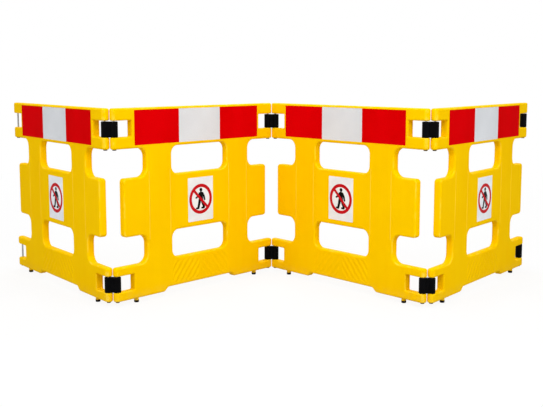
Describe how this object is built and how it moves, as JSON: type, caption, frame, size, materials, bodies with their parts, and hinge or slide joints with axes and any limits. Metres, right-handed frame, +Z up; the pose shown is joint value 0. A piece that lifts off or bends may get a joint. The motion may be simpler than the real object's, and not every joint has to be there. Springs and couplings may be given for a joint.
{
  "type": "folding barrier",
  "caption": "Folding pedestrian barrier of hollow moulded panels, hinged by plastic clips on steel pins, with reflective sheets, prohibition signs and rubber feet.",
  "frame": {"origin": "on the floor under the middle of the standing barrier's box", "axes": "+X along the standing barrier, to the right seen from the signs' side; +Y away from that side; +Z up"},
  "size_m": [3.041, 0.9486, 1],
  "materials": {
    "yellow_shell": "satin moulded",
    "red_sheet": "retroreflective sheet",
    "white_sheet": "retroreflective sheet",
    "sign_face": "printed sheet",
    "foot_rubber": "matte",
    "cap_plastic": "matte",
    "pin_steel": "zinc plated",
    "clip_plastic": "moulded"
  },
  "bodies": {
    "panel_1": {"panel_shell_1": "yellow_shell", "red_sheets_1": "red_sheet", "white_sheet_1": "white_sheet", "sign_plate_1": "sign_face", "rubber_feet_1": "foot_rubber", "pin_caps_1": "cap_plastic", "left_pins_1": "pin_steel", "right_pins_1": "pin_steel"},
    "panel_2": {"panel_shell_2": "yellow_shell", "red_sheets_2": "red_sheet", "white_sheet_2": "white_sheet", "sign_plate_2": "sign_face", "rubber_feet_2": "foot_rubber", "pin_caps_2": "cap_plastic", "left_pins_2": "pin_steel", "right_pins_2": "pin_steel"},
    "panel_3": {"panel_shell_3": "yellow_shell", "red_sheets_3": "red_sheet", "white_sheet_3": "white_sheet", "sign_plate_3": "sign_face", "rubber_feet_3": "foot_rubber", "pin_caps_3": "cap_plastic", "left_pins_3": "pin_steel", "right_pins_3": "pin_steel"},
    "panel_4": {"panel_shell_4": "yellow_shell", "red_sheets_4": "red_sheet", "white_sheet_4": "white_sheet", "sign_plate_4": "sign_face", "rubber_feet_4": "foot_rubber", "pin_caps_4": "cap_plastic", "left_pins_4": "pin_steel", "right_pins_4": "pin_steel"},
    "clips_1_2": {"upper_clip_1_2": "clip_plastic", "lower_clip_1_2": "clip_plastic"},
    "clips_2_3": {"upper_clip_2_3": "clip_plastic", "lower_clip_2_3": "clip_plastic"},
    "clips_3_4": {"upper_clip_3_4": "clip_plastic", "lower_clip_3_4": "clip_plastic"},
    "upper_end_clip": {"upper_end_clip": "clip_plastic"},
    "lower_end_clip": {"lower_end_clip": "clip_plastic"}
  },
  "joints": [
    {"name": "fold_1_2", "type": "hinge", "parent": "panel_2", "child": "clips_1_2", "pos_m": [-0.77584, -0.43587, 0.5], "axis": [0, 0, -1], "range_deg": [-94.25, 40.75]},
    {"name": "fold_1_2_far_pin", "type": "hinge", "parent": "clips_1_2", "child": "panel_1", "pos_m": [-0.82079, -0.43379, 0.5], "axis": [0, 0, -1], "range_deg": [-94.25, 40.75]},
    {"name": "fold_2_3", "type": "hinge", "parent": "panel_2", "child": "clips_2_3", "pos_m": [-0.02004, 0.36336, 0.5], "axis": [0, 0, -1], "range_deg": [-82.25, 42.75]},
    {"name": "fold_2_3_far_pin", "type": "hinge", "parent": "clips_2_3", "child": "panel_3", "pos_m": [0.02495, 0.36285, 0.5], "axis": [0, 0, -1], "range_deg": [-82.25, 42.75]},
    {"name": "fold_3_4", "type": "hinge", "parent": "panel_3", "child": "clips_3_4", "pos_m": [0.76242, -0.45333, 0.5], "axis": [0, 0, 1], "range_deg": [-94.8, 40.2]},
    {"name": "fold_3_4_far_pin", "type": "hinge", "parent": "clips_3_4", "child": "panel_4", "pos_m": [0.8074, -0.45183, 0.5], "axis": [0, 0, 1], "range_deg": [-94.8, 40.2]},
    {"name": "upper_end_clip_swing", "type": "hinge", "parent": "panel_4", "child": "upper_end_clip", "pos_m": [1.48916, 0.41142, 0.8975], "axis": [0, 0, 1], "range_deg": [-203, 12]},
    {"name": "lower_end_clip_swing", "type": "hinge", "parent": "panel_4", "child": "lower_end_clip", "pos_m": [1.48916, 0.41142, 0.1135], "axis": [0, 0, 1], "range_deg": [-203, 12]}
  ],
  "couplings": [
    {"joint": "fold_1_2_far_pin", "follows": "fold_1_2", "ratio": 1},
    {"joint": "fold_2_3_far_pin", "follows": "fold_2_3", "ratio": 1},
    {"joint": "fold_3_4_far_pin", "follows": "fold_3_4", "ratio": 1}
  ]
}
